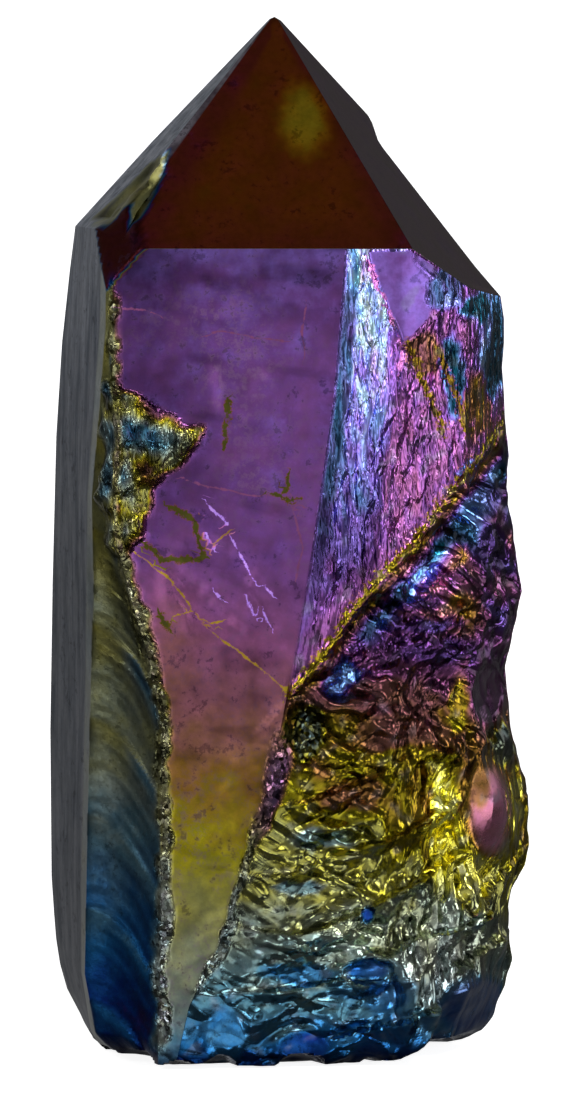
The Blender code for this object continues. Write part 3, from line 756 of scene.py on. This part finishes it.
def body_film(at):
    """The film's thickness below the shoulder."""
    up, edges, middle, broad = at.up, at.edges, at.middle, at.grain(9, 41)
    purple = profile(up + 1.2 * broad, PURPLE_FACE_FILM) + 0.015 * middle
    purple -= 0.06 * at.blob(-12, 45, 3, 6)
    broken = profile(up + 1.5 * broad + 0.8 * middle, BROKEN_SIDE_FILM) + 0.06 * at.turned + 0.02 * middle
    broken += 0.17 * at.grain(2.8, 78) * smooth(up, 40, 46)
    right = at.by_ridge(broken, above_ridge_film(at), PATCH_FILM)
    right = blend(right, 0.96 + 0.03 * middle, at.teal)
    right = blend(right, 0.61, np.exp(-(((at.ridge + 0.9) / 0.6) ** 2)))
    ledge = ripple((wedge_curve(at.across, up) + 0.8 * at.grain(5, 11)) / 9.6 + 0.25)
    wedge = profile(up + 2 * broad, WEDGE_FILM)
    wedge += 0.05 * (ledge - 0.3) + 0.02 * middle + 0.03 * at.turned
    wedge -= 0.16 * smooth(up, 24, 32) * smooth(at.shares, 0.35, 0.8) * smooth(ledge, 0.3, 0.8)
    film = np.select(
        [edges == LEFT, edges == CORNER, edges == WEDGE, edges == PURPLE, at.right],
        [0.46 + 0.02 * middle, 0.45 + 0.05 * middle, wedge, purple, right],
        profile(up + 3 * broad, PURPLE_FACE_FILM) + 0.05 * middle,
    )
    film = blend(film, 0.48 + 0.22 * at.grain(3, 76), at.crust)
    film = blend(film, FACET_FILM, at.facet)
    low = 0.44 + 0.08 * smooth(up, 14, 28) + 0.24 * at.blob(-0.6, 28, 3, 6.5)
    return blend(film, low, at.crumbs)


def tip_film(at):
    """The film's thickness on the polished tip."""
    middle = at.grain(3, 44)
    front_edge = np.abs(at.across + 1.35) / (15 * np.clip((103.2 - at.z) / 20.3, 0.05, 1))
    front = 0.106 + 0.008 * middle + 0.035 * smooth(front_edge, 0.6, 1) + 0.02 * fall(at.up, 83, 87)
    front = front - 0.095 * at.spot
    behind = 0.8 - 0.02 * (at.up - 90) + 0.03 * middle
    film = at.by_tip_face(0.45 + 0.01 * middle, front, 0.165 + 0.006 * middle, behind)
    film = blend(film, 0.5 + 0.04 * middle, smooth(at.chip, -0.2, 0.2) * (at.points[..., 1] < 0))
    return blend(film, FACET_FILM, at.facet)


def bare_share(at):
    """How far the stone's own grey shows through a film that is thin: 0 is all film, 1 is all grey."""
    dirt = 0.3 * smooth(at.grain(1.3, 46), 0.25, 0.5)
    grey_facets = 0.55 * at.blob(15, 11, 4.5, 5)
    low = np.select(
        [at.edges == WEDGE, at.edges == PURPLE, at.right],
        [0.18 * smooth(at.up, 12, 24), 0.12 * fall(at.up, 10, 24), np.maximum(dirt, grey_facets)],
        0,
    )
    bare = np.select([at.edges == LEFT, at.edges == CORNER, at.body], [1, 0.55, low], 0)
    bare = np.maximum(bare, 0.4 * at.crumb_lines)
    return np.where(at.chipped, 0.2, bare) * (1 - at.facet)


def tone(at):
    """How bright the film's colour is made, from 0 up: partly its own tone, partly painted highlights and
    painted shade.
    """
    across, up, edges, beside = at.across, at.up, at.edges, at.beside_purple
    broken = profile(up, BROKEN_SIDE_TONE) + 0.12 * at.grain(1.8, 47)
    # Painted shade: the teal band in the groove under the ridge is darkened.
    broken = broken * (1 - 0.7 * at.teal)
    broken = broken * (1 - 0.2 * fall(across, -2, 5) * fall(up, 16, 22))
    # Painted highlight: the pale blue strip beside the purple face is brightened well above 1, standing for
    # the light it reflects, and less so low down.
    strip = 1.85 - 1.4 * fall(beside, 0.8, 1.5) * fall(up, 78, 80) * smooth(up, 44, 54)
    strip = strip * (0.3 + 0.7 * smooth(up, 54, 78))
    strip = np.maximum(strip, 0.9 * fall(up, 46, 54) * smooth(beside, 0.6, 2))
    above = blend(np.where(edges == STRIP, strip, 1.25), 1, smooth(at.plateau, 0, 0.3))
    right = at.by_ridge(broken, above, PATCH_TONE)
    wedge = 0.35 + 0.08 * at.middle + 0.07 * fall(up, 14, 24)
    # Painted shading: the grey left face is darker towards the bottom.
    left = 0.66 - 0.28 * fall(up, 45, 82) - 0.08 * fall(up, 6, 30)
    face = profile(up, PURPLE_FACE_TONE) + 0.11 * at.grain(2, 72) + 0.09 * at.grain(0.9, 77)
    face -= 0.18 * smooth(at.slanted_grain(-8, 3.5, 2, 73), 0.2, 0.5)
    face = face - 0.31 * smooth(up, 52, 60) * fall(across + 0.15 * (up - 70), -14, -4)
    face = face - 0.22 * smooth(up, 76, 81) + 0.06 * at.grain(6, 55)
    faces = [edges <= CORNER, edges == WEDGE, edges == PURPLE, at.right]
    body = np.select(faces, [left, wedge, face, right], 1)
    streaks = 0.36 + 0.5 * at.slanted_grain(50, 3, 1.4, 68)
    # Painted shade in part: each tip face gets its own tone for how dark it reflects the room, darkest on the
    # right face.
    tip = blend(at.by_tip_face(0.8, 0.62, 0.26, 0.9), streaks, smooth(at.chip, -0.1, 0.2))
    shade = np.where(at.body, body, tip + 0.06 * at.spot * (edges > LEFT))
    shade = blend(shade, 0.5 + np.clip(at.grain(1.5, 70), -0.4, 1), at.crust)
    shade = blend(shade, 0.45 + 0.5 * at.grain(1.5, 71), at.crumbs)
    shade = blend(shade, 0.35, at.facet)
    # Painted shade: the lowest 3 mm are darkened, for the shadow under the chipped base rim.
    return shade * (0.2 + 0.8 * smooth(at.z, 0, 3))


def grit(at):
    """How crumbly the surface is, from smooth at 0 to all small flakes at 1."""
    above = 0.65 * fall(at.plateau, -0.2, 0.2)
    above = above * (1 - 0.8 * fall(at.up, 46, 58))
    right = at.by_ridge(profile(at.up, BROKEN_SIDE_GRIT), above, PATCH_GRIT)
    behind = 0.03 + 0.1 * fall(at.up, 12, 26)
    value = np.select([at.edges == WEDGE, at.right, at.edges >= BACK], [0.06, right, behind], 0)
    value = np.where(at.chipped, 0.03, value * at.body) * (1 - at.facet)
    loose = (0.35 + 0.5 * at.grain(2.4, 74)) * at.crumbs
    return np.maximum(value, np.maximum(0.7 * at.crust, loose))


def haze(at):
    """Where fine scratches dull the purple face."""
    cloud = at.blob(-5, 72, 3.6, 7.5) + 0.6 * at.blob(-11, 76, 6, 3)
    cloud += 0.5 * at.blob(-3, 60, 4, 4) + 0.25
    return np.clip(cloud + 0.35 * at.grain(3.5, 52), 0, 1) * ((at.edges == PURPLE) & at.body)


def mark_fields(at):
    """Of the nearest thin mark: the gap to it in half widths, how near it is, and its film and tone."""
    across = at.across + 0.2 * at.grain(1.6, 53)
    up = at.up + 0.2 * at.grain(1.6, 54)
    front = (at.edges >= PURPLE) & (at.edges <= SIDE) & at.body
    nearest = np.full(across.shape, 1e9)
    fields = dict.fromkeys(("mark_gap", "mark_near", "mark_film", "mark_tone"), np.zeros(across.shape))
    for half_width, film, shade, lines in MARKS:
        for line in lines:
            away = line_distance(line, across, up)
            rim = np.abs(away) - half_width
            closer = rim < nearest
            nearest = np.where(closer, rim, nearest)
            for name, value in zip(fields, (away / half_width, fall(rim, 0.2, 0.9), film, shade)):
                fields[name] = np.where(closer, value, fields[name])
    return {name: values * front for name, values in fields.items()}


def streak_fields(at):
    """Where the shader's crinkles rise to the right, and where they are steep or upright instead."""
    loose = np.maximum(np.maximum(at.crust, at.crumb_lines), at.blob(1.4, 34, 2, 3))
    rising = np.maximum(fall(loose, 0.1, 0.5) * at.right * at.body, 0.85 * at.crust)
    fluted = smooth(at.across, 8, 11) * fall(at.up, 30, 36)
    return {"rising": rising, "fluted": fluted * rising, "upright": smooth(at.ridge, -0.3, 0.3) * rising}


def dress(data, points, edges, shares):
    """Writes what the film's looks depend on onto the mesh's points."""
    column_count = points.shape[1]
    place = np.empty(len(data.vertices), np.int32)
    data.attributes["grid_place"].data.foreach_get("value", place)
    normals = np.empty(len(data.vertices) * 3, np.float32)
    data.vertices.foreach_get("normal", normals)
    rows, columns = place // column_count, place % column_count
    at = Surface(points[rows, columns], normals.reshape(-1, 3), rows, edges[columns], shares[columns])
    fields = {
        "film": np.where(at.body, body_film(at), tip_film(at)),
        "bare": bare_share(at),
        "tone": tone(at),
        "grit": grit(at),
        "haze": haze(at),
        **streak_fields(at),
        **mark_fields(at),
        "matte": np.select([at.edges == LEFT, at.edges == WEDGE], [1, 0.7], 0),
    }
    for name, values in fields.items():
        attribute = data.attributes.new(name, "FLOAT", "POINT")
        attribute.data.foreach_set("value", values.astype(np.float32))
    data.attributes.remove(data.attributes["grid_place"])


class Nodes:
    """Adds shader nodes to a tree and joins them."""

    def __init__(self, tree):
        self.tree = tree

    def put(self, value, socket):
        if isinstance(value, bpy.types.NodeSocket):
            self.tree.links.new(value, socket)
        else:
            socket.default_value = value

    def add(self, kind, inputs=None, **settings):
        node = self.tree.nodes.new("ShaderNode" + kind)
        for name, value in settings.items():
            setattr(node, name, value)
        for name, value in (inputs or {}).items():
            self.put(value, node.inputs[name])
        return node

    def attribute(self, name):
        return self.add("Attribute", attribute_name=name).outputs["Fac"]

    def maths(self, operation, first, second=0, third=0):
        return self.add("Math", {0: first, 1: second, 2: third}, operation=operation).outputs[0]

    def times(self, first, second):
        return self.maths("MULTIPLY", first, second)

    def varied(self, base, value, centre, scale):
        """The base, and scale times what value is above its centre."""
        return self.maths("MULTIPLY_ADD", self.maths("SUBTRACT", value, centre), scale, base)

    def vector(self, operation, first, second, output="Vector"):
        return self.add("VectorMath", {0: first, 1: second}, operation=operation).outputs[output]

    def noise(self, place, scale, detail, roughness):
        inputs = {"Vector": place, "Scale": scale, "Detail": detail, "Roughness": roughness}
        return self.add("TexNoise", inputs).outputs

    def remap(self, value, low, high, to_low=0, to_high=1, **settings):
        inputs = {"Value": value, "From Min": low, "From Max": high, "To Min": to_low, "To Max": to_high}
        return self.add("MapRange", inputs, **settings).outputs["Result"]

    def blend(self, share, first, second):
        return self.add("Mix", {"Factor": share, "A": first, "B": second}, data_type="FLOAT").outputs[0]

    def mix(self, share, first, second, kind="MIX"):
        return self.add("Mix", {0: share, 6: first, 7: second}, data_type="RGBA", blend_type=kind).outputs[2]

    def split(self, colour):
        parts = self.add("SeparateColor", {"Color": colour}).outputs
        return parts["Red"], parts["Green"], parts["Blue"]

    def scaled(self, place, sizes, turn):
        """The place turned about Y, and then measured in cells of the given sizes in millimetres."""
        turned = self.add("VectorRotate", {"Vector": place, "Angle": turn}, rotation_type="Y_AXIS").outputs[0]
        return self.vector("MULTIPLY", turned, Vector([1 / (size * MM) for size in sizes]))


def film_ramp(nodes, thickness):
    """Turns the film's thickness into its colour."""
    node = nodes.add("ValToRGB", {"Fac": thickness})
    ramp = node.color_ramp
    ramp.elements.remove(ramp.elements[-1])
    ramp.elements[0].position = FILM_COLOURS[0][0]
    ramp.elements[0].color = (*FILM_COLOURS[0][1], 1)
    for position, colour in FILM_COLOURS[1:]:
        ramp.elements.new(position).color = (*colour, 1)
    return node.outputs["Color"]


def flake_field(nodes, place, sizes, turn, slope):
    """Small flat flakes in the shader: each one's two random numbers, the second of which brightens or
    darkens the flake as painted glints, and its height in metres.
    """
    scaled = nodes.scaled(place, sizes, turn)
    cell = nodes.add("TexVoronoi", {"Vector": scaled, "Scale": 1}).outputs
    tilt = nodes.vector("SUBTRACT", cell["Color"], (0.5, 0.5, 0.5))
    offset = nodes.vector("SUBTRACT", scaled, cell["Position"])
    height = nodes.vector("DOT_PRODUCT", offset, tilt, "Value")
    number, painted_glint_shade, _ = nodes.split(cell["Color"])
    return number, painted_glint_shade, nodes.times(height, 2 * slope * min(sizes) * MM)


def crinkle_field(nodes, place, sizes, turn, height, detail):
    """Rounded crinkles in the shader: a noise from 0 to 1, a second one that is darkened in the creases as
    painted shade and used for painted glints, and a height in metres.
    """
    scaled = nodes.scaled(place, sizes, math.radians(turn))
    noises = nodes.noise(scaled, 1, detail, 0.5)
    _, number, painted_glint_shade = nodes.split(noises["Color"])
    rounded = nodes.maths("ABSOLUTE", nodes.maths("SUBTRACT", noises["Fac"], 0.5))
    # Painted shade: the creases are darkened.
    painted_crease_shade = nodes.remap(rounded, 0, 0.05, 0.15, 1.3)
    painted_glint_shade = nodes.times(nodes.remap(painted_glint_shade, 0.3, 0.7), painted_crease_shade)
    return nodes.remap(number, 0.3, 0.7), painted_glint_shade, nodes.times(rounded, height * MM)


def aura_film():
    """The metal-oxide film over polished and broken quartz."""
    material = bpy.data.materials.new("aura_film")
    material.use_nodes = True
    nodes = Nodes(material.node_tree)
    surface = material.node_tree.nodes["Principled BSDF"].inputs
    place = nodes.add("TexCoord").outputs["Object"]
    grit_share, matte = nodes.attribute("grit"), nodes.attribute("matte")
    fine = nodes.noise(place, 1500, 5, 0.7)["Fac"]
    coarse = nodes.noise(place, 420, 3, 0.6)["Fac"]

    chips = flake_field(nodes, place, (0.42, 0.42, 0.5), 0.5, 0.7)
    splinters = crinkle_field(nodes, place, (6.6, 3.4, 2.5), -30, 3, 1)
    flutes = crinkle_field(nodes, place, (2.4, 2.6, 7), 6, 2.9, 1)
    strips = crinkle_field(nodes, place, (1, 1.1, 3.6), 4, 0.9, 2)
    field = chips
    for name, finer in (("rising", splinters), ("fluted", flutes), ("upright", strips)):
        share = nodes.attribute(name)
        field = [nodes.blend(share, a, b) for a, b in zip(field, finer)]
    number, painted_glint_shade, height = field

    thickness = nodes.varied(nodes.attribute("film"), coarse, 0.5, 0.075)
    thickness = nodes.varied(thickness, number, 0.5, nodes.times(grit_share, 0.13))
    # Painted glints and crease shade: the flakes' and crinkles' random brightness scales the tone where the
    # surface is gritty.
    painted_glint_shade = nodes.remap(nodes.maths("POWER", painted_glint_shade, 1.4), 0, 0.8, 0.45, 1.5)
    shade = nodes.times(nodes.attribute("tone"), nodes.blend(grit_share, 1, painted_glint_shade))

    gap = nodes.varied(nodes.maths("ABSOLUTE", nodes.attribute("mark_gap")), fine, 0.45, 6)
    gap = nodes.varied(gap, chips[0], 0.5, 1)
    near = nodes.remap(nodes.attribute("mark_near"), 0.3, 0.6)
    share = nodes.times(nodes.remap(gap, 1.5, 0.7), near)
    thickness = nodes.blend(share, thickness, nodes.attribute("mark_film"))
    shade = nodes.blend(share, shade, nodes.attribute("mark_tone"))

    grained = nodes.noise(nodes.vector("MULTIPLY", place, (1, 1, 0.13)), 760, 4, 0.65)["Fac"]
    grey = nodes.mix(nodes.remap(nodes.blend(matte, coarse, grained), 0.35, 0.62), DARK_STONE, PALE_STONE)
    colour = nodes.mix(nodes.attribute("bare"), film_ramp(nodes, thickness), grey)
    scratched = nodes.times(nodes.attribute("haze"), nodes.remap(fine, 0.48, 0.64, 0, 0.6))
    colour = nodes.mix(scratched, colour, SCRATCH_HAZE)
    shade = nodes.times(shade, nodes.remap(fine, 0.3, 0.7, 1.2, 0.85))
    shade = nodes.times(shade, nodes.remap(coarse, 0.3, 0.7, 0.86, 1.14))
    specks = nodes.maths("MULTIPLY_ADD", coarse, 0.9, fine)
    shade = nodes.times(shade, nodes.remap(specks, 1.08, 1.16, 1, 0.6))
    shade = nodes.add("CombineColor", {"Red": shade, "Green": shade, "Blue": shade}).outputs["Color"]
    nodes.put(nodes.mix(1, colour, shade, "MULTIPLY"), surface["Base Color"])
    nodes.put(1, surface["Metallic"])

    polish = nodes.maths("MULTIPLY_ADD", matte, 0.16, nodes.remap(grit_share, 0, 0.1, 0.34, 0.17))
    roughness = nodes.maths("ADD", polish, nodes.remap(coarse, 0.3, 0.7, -0.03, 0.08))
    nodes.put(roughness, surface["Roughness"])
    small = nodes.times(nodes.maths("ADD", coarse, nodes.times(fine, 0.35)), GRAIN_HEIGHT * MM)
    grainy = nodes.times(small, nodes.remap(grit_share, 0, 0.3, 0.35, 0.8))
    relief = nodes.maths("MULTIPLY_ADD", height, nodes.remap(grit_share, 0.05, 0.3), grainy)
    bump = nodes.add("Bump", {"Height": relief, "Strength": 1, "Distance": 1})
    nodes.put(bump.outputs["Normal"], surface["Normal"])
    return material


def build_crystal():
    points, edges, shares = crystal_points()
    data = crystal_mesh(points)
    dress(data, points, edges, shares)
    data.materials.append(aura_film())
    crystal = bpy.data.objects.new("crystal", data)
    bpy.context.scene.collection.objects.link(crystal)
    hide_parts("quartz_point")
    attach(crystal, "root")


# The camera's distance, and how much of the aimed-at plane its frame shows from top to bottom, in metres.
CAMERA_DISTANCE = 2.4
AIM = Vector((0.05, FRONT_Y, 52.8)) * MM
FRAME_HEIGHT = 0.1093
SENSOR_MM = 36


def build_camera():
    camera = bpy.data.cameras.new("camera")
    camera.sensor_width = SENSOR_MM
    camera.lens = SENSOR_MM * CAMERA_DISTANCE / FRAME_HEIGHT
    camera.clip_start = 0.01
    camera.clip_end = 20
    holder = bpy.data.objects.new("camera", camera)
    holder.location = AIM + Vector((0, -math.cos(VIEW_TILT), math.sin(VIEW_TILT))) * CAMERA_DISTANCE
    holder.rotation_euler = (math.pi / 2 - VIEW_TILT, 0, 0)
    bpy.context.scene.collection.objects.link(holder)
    bpy.context.scene.camera = holder


# The room's soft lights: (direction they come from, degrees of full light, degrees to the edge, strength).
ROOM_LIGHTS = [
    ((0, -0.99, -0.14), 12, 40, 0.42),
    ((0.46, -0.88, -0.12), 10, 28, 1.25),
    ((-0.79, -0.58, -0.14), 15, 50, 0.22),
    ((-0.45, 0.88, 0), 18, 45, 0.34),
    ((0, -0.24, 0.97), 10, 35, 0.25),
    ((0.8, -0.45, 0.35), 5, 13, 4.5),
    ((0.95, 0.2, 0.1), 4, 12, 3),
    ((0.3, -0.6, 0.74), 4, 12, 10),
    ((-0.6, -0.6, 0.5), 4, 10, 7),
    ((-0.5, -0.8, -0.4), 3, 9, 5),
    ((0.2, -0.75, -0.65), 3, 9, 5),
    ((0.85, -0.3, -0.3), 3, 10, 5),
    ((0.7, 0.6, 0.4), 6, 20, 1),
    ((-0.8, 0.2, 0.5), 5, 18, 1),
    ((0.1, 0.8, 0.6), 5, 18, 1),
]
ROOM_GREY = 0.1
BACKDROP_WHITE = 1


def build_room():
    """A dim room with soft lights, which the film reflects."""
    world = bpy.data.worlds.new("room")
    world.use_nodes = True
    nodes = Nodes(world.node_tree)
    looking = nodes.add("TexCoord").outputs["Generated"]
    light = ROOM_GREY
    for direction, inner, outer, strength in ROOM_LIGHTS:
        facing = nodes.vector("DOT_PRODUCT", looking, Vector(direction).normalized(), "Value")
        low, high = math.cos(math.radians(outer)), math.cos(math.radians(inner))
        glow = nodes.remap(facing, low, high, 0, strength, interpolation_type="SMOOTHERSTEP")
        light = nodes.maths("ADD", glow, light)
    seen = nodes.add("LightPath").outputs["Is Camera Ray"]
    backdrop = world.node_tree.nodes["Background"].inputs
    nodes.put(nodes.blend(seen, light, BACKDROP_WHITE), backdrop["Strength"])
    nodes.put((1, 1, 1, 1), backdrop["Color"])
    bpy.context.scene.world = world


FLOOR_SIZE = 12
FLOOR_DROP = 0.0001
FLOOR_LOOKS = {
    "Base Color": (0.85, 0.85, 0.85, 1),
    "Roughness": 0.9,
    "Emission Color": (1, 1, 1, 1),
    "Emission Strength": 0.9,
}


def build_floor():
    bpy.ops.mesh.primitive_plane_add(size=FLOOR_SIZE, location=(0, 0, -FLOOR_DROP))
    floor = bpy.context.object
    floor.name = "floor"
    material = bpy.data.materials.new("pale_floor")
    material.use_nodes = True
    surface = material.node_tree.nodes["Principled BSDF"].inputs
    for name, value in FLOOR_LOOKS.items():
        surface[name].default_value = value
    floor.data.materials.append(material)
    floor.visible_glossy = False


def main():
    build_camera()
    build_room()
    build_floor()
    bpy.context.scene.view_settings.view_transform = "Standard"
    build_crystal()


main()
